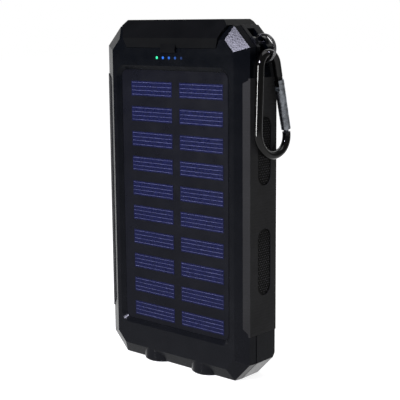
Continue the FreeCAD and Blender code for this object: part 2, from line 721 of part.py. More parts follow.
def panel_tape():
    sheet_low = "recess_low + recess_rim + 3"
    outer = box("tape_outer",
                ("2*recess_half - 10", "tape_thick", f"recess_high - recess_rim - 3 - ({sheet_low})"),
                ("-recess_half + 5", f"{FRONT} + recess_depth + board_thick", sheet_low))
    window = box("tape_window", ("20", "1", "8"), ("-10", f"{FRONT} + recess_depth + 1", "21"))
    return cut("panel_tape", outer, window)


# Indicator lamps.

def lamp_parts():
    """The light guides, their lamps and the lamp board behind the front face."""
    guides = []
    for number in range(5):
        x = f"lamp_x + lamp_pitch*{number - 2}"
        pin = rod(f"guide_pin_{number}", "lamp_radius", "2.5", (x, f"{FRONT} - 0.05", "lamp_z"), "y")
        foot = box(f"guide_foot_{number}", ("2", "0.9", "2"), (f"{x} - 1", f"{FRONT} + 2.05", "lamp_z - 1"))
        guides.append(join(f"guide_{number}", pin, foot))
    lamps = [box(f"lamp_{n}", ("1.6", "0.6", "0.8"),
                 (f"lamp_x + lamp_pitch*{n - 2} - 0.8", f"{FRONT} + 3", "lamp_z - 0.4")) for n in range(5)]
    board = box("indicator_board", ("22", "0.8", "3.6"), ("lamp_x - 11", f"{FRONT} + 3.6", "lamp_z - 1.7"))
    return [group("charge_light_guide", guides[:1]), group("battery_light_guides", guides[1:]),
            group("indicator_leds", lamps), board]


# Torches.

def torch_parts():
    """Two torches that shine out of the bottom: bezels, lenses, reflectors, lamps and their board."""
    result = []
    for side, sign in SIDES.items():
        at = (f"{sign}torch_x", "torch_y", "0")
        result.append(turned(f"torch_bezel_{side}",
                             [("torch_bore - 0.8", "0"), ("torch_radius - 0.5", "0"), ("torch_radius", "0.5"),
                              ("torch_radius", "torch_height"), ("torch_bore", "torch_height"),
                              ("torch_bore", "1"), ("torch_bore - 0.8", "0.6")], at))
        result.append(turned(f"torch_lens_{side}",
                             [("0", "1"), ("torch_bore - 0.05", "1"), ("torch_bore - 0.05", "2"), ("0", "2")],
                             at))
        result.append(turned(f"torch_reflector_{side}",
                             [("torch_bore - 0.6", "2"), ("torch_bore - 0.05", "2"),
                              ("torch_bore - 0.05", "3"), ("2.6", "10.6"), ("2", "10.6")], at))
    leds = [box(f"torch_led_{side}", ("3", "3", "1"), (f"{sign}torch_x - 1.5", "torch_y - 1.5", "10.8"))
            for side, sign in SIDES.items()]
    board = box("torch_board", ("42", "7.4", "1"), ("-21", "-5.6", "11.8"))
    return [*result, group("torch_leds", leds), board]


# Electronics and battery.

def socket(label, x, width, thick, length, tongue):
    """A USB socket: a folded metal shell, its tongue, and the moulding behind the tongue."""
    low = f"port_mouth - {length}"
    inside = (f"{x} - {width}/2 + sheet_metal", f"port_y - {thick}/2 + sheet_metal", f"{low} + sheet_metal")
    shell_box = box(label + "_outside", (width, thick, length),
                    (f"{x} - {width}/2", f"port_y - {thick}/2", low))
    hollow = box(label + "_inside", (f"{width} - 2*sheet_metal", f"{thick} - 2*sheet_metal", length), inside)
    shell = cut(label + "_shell", shell_box, hollow)
    base = box(label + "_base",
               (f"{width} - 2*sheet_metal", f"{thick} - 2*sheet_metal", f"{length}*0.15"), inside)
    blade = box(label + "_blade", (f"{width}*0.85", f"{thick}*0.3", tongue),
                (f"{x} - {width}*0.425", f"port_y + {thick}*0.05", f"{low} + sheet_metal"))
    return [shell, join(label + "_tongue", base, blade)]


def main_board():
    """The circuit board, with holes for the sockets' legs."""
    board = box("board_blank", ("51", "circuit_thick", "37"), ("-25.5", "circuit_y", "101.5"))
    holes = [rod(f"leg_hole_{side}_{n}", "0.6", "circuit_thick + 1",
                 (f"{sign}usb_x + {7.6 * n}", "circuit_y - 0.5", "128"), "y")
             for side, sign in SIDES.items() for n in (-1, 1)]
    return cut("main_board", board, *holes)


def board_parts():
    """What stands on the main board: inductors, capacitors, chips and the battery socket."""
    inductors = []
    for side, sign in SIDES.items():
        core = box(f"inductor_core_{side}", ("7", "3.6", "7"), (f"{sign}16 - 3.5", "circuit_y - 3.6", "108"))
        cup = rod(f"inductor_cup_{side}", "2.6", "1", (f"{sign}16", "circuit_y - 4.1", "111.5"), "y")
        inductors.append(cut(f"inductor_{side}", core, cup))
    cans = [rod(f"can_{n}", "2", "4.6", (f"{x}", "circuit_y - 4.6", "121"), "y")
            for n, x in enumerate((-7, 7))]
    chips = [box(f"chip_{n}", (f"{size}", "1", f"{size}"), (f"{x} - {size}/2", "circuit_y - 1", f"{z}"))
             for n, (x, z, size) in enumerate(((0, 109, 5), (-8, 106, 4), (8, 106, 4), (0, 119, 3)))]
    back_chip = box("chip_back", ("5", "1", "6"), ("-2.5", "circuit_y + circuit_thick", "112"))
    return [group("boost_inductors", inductors), group("filter_capacitors", cans),
            group("controller_chips", [*chips, back_chip])]


def battery():
    """Two flat lithium pouches with a foam pad between them and one behind."""
    result = []
    tall = "battery_high - battery_low"
    middle_low = "(battery_front + battery_thick)"
    rear_low = f"({middle_low} + foam_thick)"
    for name, low in (("front", "battery_front"), ("rear", rear_low)):
        owner = body(f"battery_pouch_{name}")
        round_pad(owner, "XZ", low, f"{low} + battery_thick", ("-battery_half", "battery_low"),
                  ("battery_half", "battery_high"), "1.5")
        dress(owner, "Fillet", "1.2", lambda e: e.BoundBox.YLength < 1e-6)
        result.append(owner)
    middle = box("foam_middle", ("50", "foam_thick", f"{tall} - 8"), ("-25", middle_low, "battery_low + 4"))
    behind_low = f"({rear_low} + battery_thick)"
    behind = box("foam_behind", ("50", f"{BACK} - back_wall - {behind_low}", f"{tall} - 8"),
                 ("-25", behind_low, "battery_low + 4"))
    return [*result, group("battery_foam", [middle, behind])]


def switch_parts():
    """The tactile switch that the power button presses, and its small board."""
    board = box("switch_board", ("0.8", "8", "15"), ("-31", "-2", "pill_high - 7.5"))
    case = box("switch_case", ("2.2", "5", "5"), ("-33.2", "pill_y - 2.5", "pill_high - 2.5"))
    plunger = rod("switch_plunger", "1.1", "1.2", ("-34.3", "pill_y", "pill_high"), "x")
    return [board, join("tact_switch", case, plunger)]


def leads():
    """The wires inside the case."""
    pairs = []
    for number in (0, 1):
        x = f"{5 * number - 2.5}"
        pairs.append(tube(f"battery_lead_{number}", "0.6",
                          [(x, "3.4", "battery_high + 0.1"), (x, "3.4", "101.2")], 1))
    panel = [tube(f"panel_lead_{n}", "0.5",
                  [(f"{4 * n - 2}", f"{FRONT} + recess_depth + board_thick + 0.05", "24"),
                   (f"{4 * n - 2}", "-5.3", "24"), (f"{4 * n - 2}", "-5.3", "15.6"),
                   (f"{12 * n - 6 + 17 * (2 * n - 1)}", "-5.3", "15.6"),
                   (f"{12 * n - 6 + 17 * (2 * n - 1)}", "-3.6", "15.6")], 0.6) for n in (0, 1)]
    return panel, pairs


# Lanyard ring and carabiner.

def lanyard_pin():
    return rod("lanyard_pin", "pin_radius", "lug_half*2", ("pin_x", "lug_y - lug_half", "pin_z"), "y")


def split_ring():
    """Two turns of drawn wire side by side, with their ends next to the pin."""
    spine = doc.addObject("Part::Helix", "ring_spine")
    spine.setExpression("Pitch", ref("ring_pitch"))
    spine.setExpression("Height", ref("ring_pitch*2"))
    spine.setExpression("Radius", ref("ring_radius"))
    section = doc.addObject("Part::RegularPolygon", "ring_section")
    section.Polygon = 12
    section.setExpression("Circumradius", ref("ring_wire"))
    section.Placement = FreeCAD.Placement(FreeCAD.Vector(), FreeCAD.Rotation(FreeCAD.Vector(1, 0, 0), 90))
    section.setExpression("Placement.Base.x", ref("ring_radius"))
    ring = doc.addObject("Part::Sweep", "split_ring")
    ring.Sections = [section]
    ring.Spine = (spine, [])
    ring.Solid = True
    ring.Frenet = True
    seam = FreeCAD.Rotation(FreeCAD.Vector(0, 1, 0), -150)
    flat = FreeCAD.Rotation(FreeCAD.Vector(1, 0, 0), -90)
    place(ring, ("ring_x", "lug_y - ring_pitch", "ring_z"))
    ring.Placement = FreeCAD.Placement(ring.Placement.Base, seam.multiply(flat))
    return ring


def clip_geometry():
    """The carabiner in its plane: bend centres and where its straight lines touch the bends."""
    up = FreeCAD.Vector(0, 0, 1)
    top = FreeCAD.Vector(0, value("clip_top_y"), value("clip_top_z"))
    low = FreeCAD.Vector(0, value("clip_low_y"), value("clip_low_z"))
    top_radius, low_radius, nose_radius = (value(f"clip_{name}_radius") for name in ("top", "low", "nose"))
    turn = math.radians(value("clip_nose_turn"))
    towards = FreeCAD.Vector(0, math.cos(turn), math.sin(turn))
    change = low + towards * low_radius
    nose = change - towards * nose_radius

    def touch_normal(centre, radius, side):
        """The direction from the bends' centres to the straight line that touches both."""
        down = centre - top
        lean = (radius - top_radius) / down.Length
        down.normalize()
        across = FreeCAD.Vector(0, -down.z, down.y)
        return across * side * math.sqrt(1 - lean * lean) - down * lean

    spine, gate = touch_normal(low, low_radius, -1), touch_normal(nose, nose_radius, 1)
    along = FreeCAD.Vector(0, gate.z, -gate.y)
    touch = top + gate * top_radius
    return {"crown": top + up * top_radius, "spine_top": top + spine * top_radius,
            "spine_low": low + spine * low_radius,
            "bottom": low + (spine + towards).normalize() * low_radius, "change": change,
            "nose": nose, "nose_end": nose + gate * nose_radius,
            "nose_middle": nose + (towards + gate).normalize() * nose_radius,
            "touch": touch, "along": along,
            "pivot": touch + along * ((value("gate_top") - touch.z) / along.z)}


def on_clip(label, shape):
    """A sub-part of the carabiner, moved out to the carabiner's plane."""
    plane = FreeCAD.Placement(FreeCAD.Vector(value("clip_x"), 0, 0), FreeCAD.Rotation())
    obj = doc.addObject("Part::Feature", label)
    obj.Shape = shape
    obj.Placement = plane.multiply(shape.Placement)
    return obj


def cross_rod(centre, radius, half):
    """A rod along X through a point of the carabiner's plane."""
    across = FreeCAD.Vector(1, 0, 0)
    return Part.makeCylinder(radius, 2 * half, centre - across * half, across)


def slab(half, low, high):
    """A block between two corners of the carabiner's plane, half thick to each side."""
    corner = FreeCAD.Vector(-half, min(low.y, high.y), min(low.z, high.z))
    return Part.makeBox(2 * half, abs(high.y - low.y), abs(high.z - low.z), corner)


def along_gate(shape, clip):
    """A shape drawn along Z from the pivot, turned to lie along the gate."""
    turn = FreeCAD.Rotation(FreeCAD.Vector(0, 0, 1), clip["along"])
    return shape.transformed(FreeCAD.Placement(clip["pivot"], turn).toMatrix())


def carabiner_body():
    """The carabiner's bent wire, from its flattened eye over the top and round to the nose."""
    clip = clip_geometry()
    pivot, along = clip["pivot"], clip["along"]
    start = pivot - along * (value("gate_head") + 1.4)
    edges = [Part.LineSegment(start, clip["touch"]).toShape(),
             Part.Arc(clip["touch"], clip["crown"], clip["spine_top"]).toShape(),
             Part.LineSegment(clip["spine_top"], clip["spine_low"]).toShape(),
             Part.Arc(clip["spine_low"], clip["bottom"], clip["change"]).toShape(),
             Part.Arc(clip["change"], clip["nose_middle"], clip["nose_end"]).toShape()]
    section = Part.Wire([Part.Circle(start, along, value("clip_wire")).toShape()])
    bent = Part.Wire(edges).makePipeShell([section], True, True)
    # The flattened end that the gate turns on.
    eye_half, eye_radius = value("eye_half"), value("eye_radius")
    blade = Part.makeBox(2 * eye_half, 2 * eye_radius, value("gate_head") + 1.8,
                         FreeCAD.Vector(-eye_half, -eye_radius, -value("gate_head") - 1.8))
    eye = along_gate(blade, clip).fuse(cross_rod(pivot, eye_radius, eye_half))
    bore = cross_rod(pivot, value("rivet_radius"), 4)
    # The nose is cut back along the paths of the gate's tip and of its blade.
    end = clip["nose_end"]
    corners = end - FreeCAD.Vector(0, 4, 5), end + FreeCAD.Vector(0, 4, 3)
    reach = value("gate_length + nose_gap")
    tip_path = cross_rod(pivot, reach, 4).common(slab(4, *corners))
    blade_half = value("gate_blade + 0.25")
    blade_path = cross_rod(pivot, reach + value("nose_length"), 4).common(slab(blade_half, *corners))
    return on_clip("carabiner_body", bent.fuse(eye).cut([bore, tip_path, blade_path]).removeSplitter())


def carabiner_gate():
    """The gate: a round bar with a forked head, a bore for its spring and a blade at its tip."""
    clip = clip_geometry()
    radius, length, head = value("gate_radius"), value("gate_length"), value("gate_head")
    slot_half, blade_half = value("gate_slot"), value("gate_blade")
    bar = Part.makeCylinder(radius, head + length, FreeCAD.Vector(0, 0, -head))
    blade = Part.makeBox(2 * blade_half, radius * 0.9, value("nose_gap + nose_length"),
                         FreeCAD.Vector(-blade_half, -radius * 0.45, length - 0.3))
    slot = Part.makeBox(2 * slot_half, 3 * radius, head + 2.6,
                        FreeCAD.Vector(-slot_half, -1.5 * radius, -head - 0.1))
    spring_bore = Part.makeCylinder(value("spring_radius + spring_wire + 0.1"), 8, FreeCAD.Vector(0, 0, 2))
    solid = along_gate(bar.fuse(blade).cut([slot, spring_bore]), clip)
    bore = cross_rod(clip["pivot"], value("rivet_radius + 0.05"), 4)
    return on_clip("carabiner_gate", solid.cut(bore).removeSplitter())


def gate_spring():
    """The small coil in the gate that closes it."""
    clip = clip_geometry()
    coil = Part.makeHelix(value("spring_pitch"), value("spring_pitch*7"), value("spring_radius"))
    start = FreeCAD.Vector(value("spring_radius"), 0, 0)
    wire = Part.Circle(start, FreeCAD.Vector(0, 1, 0), value("spring_wire"))
    spring = coil.makePipeShell([Part.Wire([wire.toShape()])], True, True)
    spring.translate(FreeCAD.Vector(0, 0, 4))
    return on_clip("gate_spring", along_gate(spring, clip))


def gate_rivet():
    """The rivet through the gate's fork and the wire's eye."""
    half = value("gate_radius")
    return on_clip("gate_rivet", cross_rod(clip_geometry()["pivot"], value("rivet_radius"), half))


def main():
    """Build every sub-part, check it and write its file."""
    seam = seam_groove()
    seal_room = gasket("gasket_room", "0.05")
    cover_space = cover_room("cover_space", "cover_gap")
    grip_rooms = [grip_solid(f"{side}_grip_room", side, "3") for side in SIDES]
    rooms = [seam, seal_room, cover_space, *grip_rooms]
    panel_leads, battery_leads = leads()
    nodes = [front_shell(rooms), rear_shell(rooms), gasket("shell_gasket", "0"), screws(),
             port_cover(), port_cover_strap(), *grips(), *grip_pads(), power_button(),
             solar_board(), solar_cells(), panel_tape(), *lamp_parts(), *torch_parts(),
             *socket("usb_left", "-usb_x", "usb_width", "usb_thick", "usb_length", "9.6"),
             *socket("usb_right", "usb_x", "usb_width", "usb_thick", "usb_length", "9.6"),
             *socket("micro_usb", "0", "micro_width", "micro_thick", "micro_length", "4"),
             main_board(), *board_parts(), *battery(), *switch_parts(),
             group("panel_leads", panel_leads), group("battery_leads", battery_leads),
             lanyard_pin(), split_ring(), carabiner_body(), carabiner_gate(), gate_spring(), gate_rivet()]
    doc.recompute()
    for obj in doc.Objects:
        if "Invalid" in obj.State or "Error" in obj.State:
            raise RuntimeError(f"{obj.Label} failed: {obj.State}")
    for node in nodes:
        if node.Shape.isNull() or not node.Shape.isValid():
            raise RuntimeError(f"{node.Label} has no valid shape")
    os.makedirs("parts", exist_ok=True)
    for node in nodes:
        node.Shape.exportStep(f"parts/{node.Label}.step")
        print(f"{node.Label}: {len(node.Shape.Solids)} solids, {node.Shape.Volume:.1f} mm3")


main()
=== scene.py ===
import math
import random

import bmesh
import bpy
from mathutils import Matrix, Vector

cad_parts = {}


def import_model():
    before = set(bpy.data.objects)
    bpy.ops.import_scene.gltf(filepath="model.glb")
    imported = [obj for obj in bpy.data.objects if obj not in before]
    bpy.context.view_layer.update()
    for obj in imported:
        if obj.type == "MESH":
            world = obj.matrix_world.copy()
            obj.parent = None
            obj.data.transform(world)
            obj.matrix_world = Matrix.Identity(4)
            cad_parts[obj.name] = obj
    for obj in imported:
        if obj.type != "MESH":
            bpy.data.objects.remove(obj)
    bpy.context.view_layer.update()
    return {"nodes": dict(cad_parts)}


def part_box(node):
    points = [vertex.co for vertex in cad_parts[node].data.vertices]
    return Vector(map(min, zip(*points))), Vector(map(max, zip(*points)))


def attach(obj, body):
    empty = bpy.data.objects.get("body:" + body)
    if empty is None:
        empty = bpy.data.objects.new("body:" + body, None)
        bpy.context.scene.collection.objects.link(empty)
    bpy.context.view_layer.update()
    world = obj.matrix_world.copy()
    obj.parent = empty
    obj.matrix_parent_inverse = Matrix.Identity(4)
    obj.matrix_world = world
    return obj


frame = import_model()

MM = 0.001
SIDES = ("left", "right")
nodes = frame["nodes"]
random.seed(7)

# Fine details of the panel and the grips.
FINGERS = 4
FINGER_PITCH = 1.62 * MM
FINGER_WIDTH = 0.17 * MM
FINGER_MARGIN = 0.3 * MM
FINGER_WANDER = 0.05 * MM
DOT_ROW_PITCH = 0.95 * MM
DOT_PITCH = 1.1 * MM
DOT_RADIUS = 0.3 * MM
DOT_SINK = 0.1 * MM
DOT_MARGIN = 0.6 * MM
BUTTON_MARGIN = 0.5 * MM
SOFT_EDGES = {"front_shell": 0.22 * MM, "rear_shell": 0.22 * MM, "port_cover": 0.25 * MM,
              "left_grip": 0.2 * MM, "right_grip": 0.2 * MM}


# Materials. Every colour is linear, and every texture is in object coordinates, in metres.

class Shade:
    """A node material with a Principled shader, and short ways to add texture to it."""

    def __init__(self, name, colour, roughness, **sockets):
        self.material = bpy.data.materials.new(name)
        self.material.use_nodes = True
        self.tree = self.material.node_tree
        self.shader = self.tree.nodes["Principled BSDF"]
        self.shader.inputs["Base Color"].default_value = (*colour, 1)
        self.shader.inputs["Roughness"].default_value = roughness
        for socket, level in sockets.items():
            self.shader.inputs[socket.replace("_", " ")].default_value = level
        self.height = None

    def node(self, kind, **settings):
        made = self.tree.nodes.new("ShaderNode" + kind)
        for name, setting in settings.items():
            setattr(made, name, setting)
        return made

    def link(self, source, target):
        self.tree.links.new(source, target)
        return source

    def position(self, stretch=(1, 1, 1)):
        """Object coordinates, stretched."""
        coordinates = self.node("TexCoord")
        mapping = self.node("Mapping")
        mapping.inputs["Scale"].default_value = stretch
        self.link(coordinates.outputs["Object"], mapping.inputs["Vector"])
        return mapping.outputs["Vector"]

    def along(self, axis):
        """The object coordinate along one axis."""
        split = self.node("SeparateXYZ")
        self.link(self.position(), split.inputs[0])
        return split.outputs[axis]

    def noise(self, size, detail=3, stretch=(1, 1, 1)):
        """Noise whose features are about size metres across."""
        texture = self.node("TexNoise")
        texture.inputs["Scale"].default_value = 1 / size
        texture.inputs["Detail"].default_value = detail
        self.link(self.position(stretch), texture.inputs["Vector"])
        return texture.outputs["Fac"]

    def ribs(self, pitch, axis="Z"):
        """Even waves along an axis, one to each pitch."""
        texture = self.node("TexWave", wave_type="BANDS", bands_direction=axis, wave_profile="SIN")
        texture.inputs["Scale"].default_value = math.pi / (10 * pitch)
        texture.inputs["Distortion"].default_value = 0
        self.link(self.position(), texture.inputs["Vector"])
        return texture.outputs["Fac"]

    def ramp(self, source, low, high, a, b):
        """Map a value from low..high to a..b."""
        mapped = self.node("MapRange")
        for socket, level in zip(("From Min", "From Max", "To Min", "To Max"), (low, high, a, b)):
            mapped.inputs[socket].default_value = level
        self.link(source, mapped.inputs["Value"])
        return mapped.outputs["Result"]

    def blend(self, source, first, second):
        """Mix two colours, or a colour and a colour output, by a value."""
        mix = self.node("Mix", data_type="RGBA")
        for index, colour in ((6, first), (7, second)):
            if isinstance(colour, tuple):
                mix.inputs[index].default_value = (*colour, 1)
            else:
                self.link(colour, mix.inputs[index])
        self.link(source, mix.inputs[0])
        return mix.outputs[2]

    def tint(self, source, first, second):
        colour = self.blend(source, first, second)
        self.link(colour, self.shader.inputs["Base Color"])
        return colour

    def rough(self, source, low, high, a, b):
        self.link(self.ramp(source, low, high, a, b), self.shader.inputs["Roughness"])

    def bump(self, source, depth):
        """Add a bump layer, depth in metres."""
        layer = self.node("Bump")
        layer.inputs["Distance"].default_value = depth
        layer.inputs["Strength"].default_value = 1
        self.link(source, layer.inputs["Height"])
        if self.height:
            self.link(self.height, layer.inputs["Normal"])
        self.height = layer.outputs["Normal"]
        self.link(self.height, self.shader.inputs["Normal"])


def moulded(name, dark, light, roughness, grain=0.25 * MM, depth=0.006 * MM, ribs=None, **sockets):
    """Moulded plastic or rubber: fine spark-eroded grain with slow variation in tone and gloss."""
    shade = Shade(name, dark, roughness, **sockets)
    shade.tint(shade.ramp(shade.noise(18 * MM, 4), 0.35, 0.65, 0, 1), dark, light)
    shade.rough(shade.noise(6 * MM, 5), 0.3, 0.7, roughness - 0.05, roughness + 0.05)
    shade.bump(shade.noise(grain, 2), depth)
    if ribs:
        shade.bump(shade.ribs(ribs), 0.03 * MM)
    return shade.material


def metal(name, colour, roughness, stretch=(1, 1, 1), mottle=0.78, **sockets):
    """Bare or plated metal with fine brushing and a little tarnish."""
    shade = Shade(name, colour, roughness, Metallic=1, **sockets)
    darker = tuple(c * mottle for c in colour)
    shade.tint(shade.ramp(shade.noise(1.4 * MM, 5), 0.35, 0.65, 0, 1), colour, darker)
    brush = shade.noise(0.2 * MM, 3, stretch)
    shade.rough(brush, 0.3, 0.7, roughness * 0.75, roughness * 1.3)
    shade.bump(brush, 0.004 * MM)
    return shade.material


def case_plastic():
    """Satin black ABS with a little random dust, painted paler towards the bottom as painted light from the
    floor.
    """
    top, painted_lit_foot, dust = (0.0010, 0.0015, 0.0026), (0.0046, 0.0050, 0.0066), (0.014, 0.0145, 0.0165)
    shade = Shade("shell_plastic", top, 0.22, Specular_IOR_Level=0.19)
    # Painted light: the colour grows paler towards the bottom, standing in for light reflected from the
    # floor.
    painted_floor_light = shade.blend(shade.ramp(shade.along("Z"), 0.13, 0.0, 0, 1), top, painted_lit_foot)
    shade.tint(shade.ramp(shade.noise(9 * MM, 6), 0.45, 0.8, 0, 0.15), painted_floor_light, dust)
    shade.rough(shade.noise(5 * MM, 5), 0.3, 0.7, 0.19, 0.27)
    shade.bump(shade.noise(0.55 * MM, 3), 0.03 * MM)
    return shade.material


def silicon():
    """Dark blue cells with faint crystal grain."""
    dark, light = (0.0026, 0.0040, 0.023), (0.0045, 0.0062, 0.036)
    shade = Shade("silicon", dark, 0.3, Specular_IOR_Level=0.2)
    shade.tint(shade.ramp(shade.noise(2.2 * MM, 5, (1, 1, 2.4)), 0.35, 0.65, 0, 1), dark, light)
    shade.rough(shade.noise(1.1 * MM, 3), 0.3, 0.7, 0.24, 0.36)
    shade.bump(shade.noise(0.7 * MM, 3), 0.004 * MM)
    return shade.material


def finger_metal():
    """Silver contact lines, seen through the panel's blue resin."""
    dark, light = (0.036, 0.040, 0.105), (0.072, 0.078, 0.165)
    shade = Shade("finger_silver", dark, 0.35, Specular_IOR_Level=0.3)
    shade.tint(shade.ramp(shade.noise(3 * MM, 4), 0.35, 0.65, 0, 1), dark, light)
    shade.bump(shade.noise(0.3 * MM, 2), 0.004 * MM)
    return shade.material


def glass(name, colour):
    """Clear moulded plastic, faintly wavy."""
    shade = Shade(name, colour, 0.08, Transmission_Weight=0.9, IOR=1.5)
    shade.bump(shade.noise(3 * MM, 2), 0.01 * MM)
    return shade.material


def lamp(name, colour, strength, fall=None):
    """A lit light guide, nearly black when unlit. Its light may fall from one X to another."""
    unlit = tuple(0.04 * c for c in colour)
    shade = Shade(name, unlit, 0.3, Emission_Strength=strength)
    shade.shader.inputs["Emission Color"].default_value = (*colour, 1)
    if fall:
        (first, last), (bright, dim) = fall
        shade.link(shade.ramp(shade.along("X"), first, last, bright, dim),
                   shade.shader.inputs["Emission Strength"])
    shade.bump(shade.noise(0.4 * MM, 2), 0.01 * MM)
    return shade.material


def assign(name, material):
    """Give every slot of a node one material."""
    if not nodes[name].material_slots:
        nodes[name].data.materials.append(material)
    for slot in nodes[name].material_slots:
        slot.material = material


FINISHES = {
    "front_shell rear_shell torch_bezel_left torch_bezel_right": case_plastic(),
    "shell_gasket": moulded("seal_rubber", (0.002, 0.002, 0.002), (0.003, 0.003, 0.003), 0.7,
                            Specular_IOR_Level=0.1),
    "housing_screws": metal("screw_steel", (0.10, 0.10, 0.105), 0.35),
    "port_cover port_cover_strap": moulded("cover_rubber", (0.0012, 0.0014, 0.0018),
                                           (0.0020, 0.0022, 0.0027), 0.4, Specular_IOR_Level=0.12),
    "left_grip right_grip": moulded("grip_rubber", (0.0155, 0.0155, 0.0155), (0.0195, 0.0195, 0.0195), 0.65,
                                    grain=0.4 * MM, depth=0.02 * MM, ribs=1.2 * MM, Specular_IOR_Level=0.15),
    "left_grip_pads right_grip_pads": moulded("pad_rubber", (0.002, 0.002, 0.002), (0.003, 0.003, 0.003),
                                              0.6, Specular_IOR_Level=0.15),
    "power_button": moulded("button_plastic", (0.010, 0.010, 0.010), (0.013, 0.013, 0.013), 0.4,
                            Specular_IOR_Level=0.2),
    "solar_board": moulded("panel_resin", (0.0024, 0.0027, 0.0050), (0.0035, 0.0039, 0.0070), 0.32,
                           grain=0.3 * MM, depth=0.002 * MM, Specular_IOR_Level=0.2),
    "solar_cells": silicon(),
    "panel_tape battery_foam": moulded("foam_tape", (0.03, 0.03, 0.03), (0.05, 0.05, 0.05), 0.9),
    "indicator_leds torch_leds": moulded("led_body", (0.8, 0.78, 0.6), (0.9, 0.88, 0.7), 0.4),
    "indicator_board torch_board main_board switch_board": moulded(
        "circuit_board", (0.01, 0.09, 0.03), (0.015, 0.12, 0.045), 0.35),
    "torch_reflector_left torch_reflector_right": metal("reflector", (0.85, 0.85, 0.87), 0.12),
    "usb_left_shell usb_right_shell micro_usb_shell": metal("socket_metal", (0.65, 0.65, 0.66), 0.28),
    "usb_left_tongue usb_right_tongue micro_usb_tongue": moulded(
        "socket_plastic", (0.01, 0.01, 0.01), (0.014, 0.014, 0.014), 0.45),
    "boost_inductors": moulded("ferrite", (0.03, 0.03, 0.032), (0.05, 0.05, 0.052), 0.6),
    "filter_capacitors": metal("capacitor_can", (0.7, 0.7, 0.72), 0.3),
    "controller_chips": moulded("chip_resin", (0.01, 0.01, 0.011), (0.016, 0.016, 0.017), 0.5),
    "battery_pouch_front battery_pouch_rear": metal("pouch_foil", (0.55, 0.56, 0.58), 0.35),
    "tact_switch": moulded("switch_body", (0.02, 0.02, 0.02), (0.03, 0.03, 0.03), 0.45),
    "panel_leads battery_leads": moulded("wire_sheath", (0.25, 0.01, 0.01), (0.35, 0.015, 0.015), 0.5),
    "lanyard_pin gate_rivet gate_spring": metal("pin_steel", (0.5, 0.5, 0.52), 0.3),
    "split_ring": metal("ring_steel", (0.36, 0.36, 0.37), 0.1),
    "carabiner_body": moulded("clip_enamel", (0.0006, 0.0006, 0.0006), (0.001, 0.001, 0.001), 0.08,
                              grain=2 * MM, depth=0.001 * MM, Specular_IOR_Level=0.65),
    "carabiner_gate": metal("gate_metal", (0.62, 0.66, 0.72), 0.3, (1, 1, 0.25), mottle=0.35),
    "torch_lens_left torch_lens_right": glass("clear_lens", (0.95, 0.97, 1.0)),
    "charge_light_guide": lamp("charge_lamp", (0.04, 0.75, 0.36), 1.6),
    "battery_light_guides": lamp("battery_lamp", (0.03, 0.22, 1.0), 1.5,
                                 ((-3.8 * MM, 6.1 * MM), (0.9, 0.04))),
}
for names, finish in FINISHES.items():
    for name in names.split():
        assign(name, finish)


# Details too fine for the frame.

def piece(name, build, material):
    """A new piece on the case, with the mesh that build makes."""
    mesh = bpy.data.meshes.new(name)
    shape = bmesh.new()
    build(shape)
    shape.to_mesh(mesh)
    shape.free()
    mesh.materials.append(material)
    obj = bpy.data.objects.new(name, mesh)
    bpy.context.scene.collection.objects.link(obj)
    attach(obj, "case")


def add_bar(shape, low, high):
    """A box between two corners."""
    middle = (Vector(low) + Vector(high)) / 2
    size = Vector(high) - Vector(low)
    bmesh.ops.create_cube(shape, size=1, matrix=Matrix.Translation(middle) @ Matrix.Diagonal((*size, 1)))


def solid_boxes(node):
    """The bounds of each separate solid of a node."""
    shape = bmesh.new()
    shape.from_mesh(nodes[node].data)
    bmesh.ops.remove_doubles(shape, verts=shape.verts, dist=1e-6)
    unseen, found = set(shape.verts), []
    while unseen:
        front = [unseen.pop()]
        island = []
        while front:
            vertex = front.pop()
            island.append(vertex.co.copy())
            for edge in vertex.link_edges:
                other = edge.other_vert(vertex)
                if other in unseen:
                    unseen.remove(other)
                    front.append(other)
        found.append((Vector(min(p[i] for p in island) for i in range(3)),
                      Vector(max(p[i] for p in island) for i in range(3))))
    shape.free()
    return found


def cell_fingers(shape):
    """Silver contact lines printed across every cell, each a little out of line."""
    for low, high in solid_boxes("solar_cells"):
        middle = (low.z + high.z) / 2
        for line in range(FINGERS):
            z = middle + (line - (FINGERS - 1) / 2) * FINGER_PITCH
            z += random.uniform(-1, 1) * FINGER_WANDER
            add_bar(shape, (low.x + FINGER_MARGIN, low.y - 0.02 * MM, z - FINGER_WIDTH / 2),
                    (high.x - FINGER_MARGIN, low.y + 0.01 * MM, z + FINGER_WIDTH / 2))


def pad_dots(side):
    """Raised dots over the pads of one side, in staggered rows."""
    outward = -1 if side == "left" else 1

    def build(shape):
        for low, high in solid_boxes(f"{side}_grip_pads"):
            radius = (high.y - low.y) / 2
            face = low.x if side == "left" else high.x
            middle_y = (low.y + high.y) / 2
            columns = int(radius / DOT_PITCH) + 1
            for row in range(int((high.z - low.z) / DOT_ROW_PITCH)):
                z = low.z + (row + 0.7) * DOT_ROW_PITCH
                into_end = max(low.z + radius - z, z - high.z + radius, 0)
                for column in range(-columns, columns + 1):
                    y = middle_y + (column + 0.5 * (row % 2)) * DOT_PITCH
                    outside = math.hypot(y - middle_y, into_end) > radius - DOT_MARGIN
                    if outside or (side == "left" and near_button(y, z)):
                        continue
                    place = Matrix.Translation((face - outward * DOT_SINK, y, z))
                    bmesh.ops.create_icosphere(shape, subdivisions=1, radius=DOT_RADIUS, matrix=place)
    return build


def near_button(y, z):
    """Whether a point of the left side is on the power button or next to it."""
    low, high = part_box("power_button")
    beside = low[1] - BUTTON_MARGIN < y < high[1] + BUTTON_MARGIN
    return beside and low[2] - BUTTON_MARGIN < z < high[2] + BUTTON_MARGIN


def soften_edges():
    """Small rounded edges that catch the light on the moulded parts."""
    for name, width in SOFT_EDGES.items():
        edge = nodes[name].modifiers.new("soft_edges", "BEVEL")
        edge.width = width
        edge.segments = 2
        edge.limit_method = "ANGLE"
        edge.angle_limit = math.radians(24)
        edge.use_clamp_overlap = True


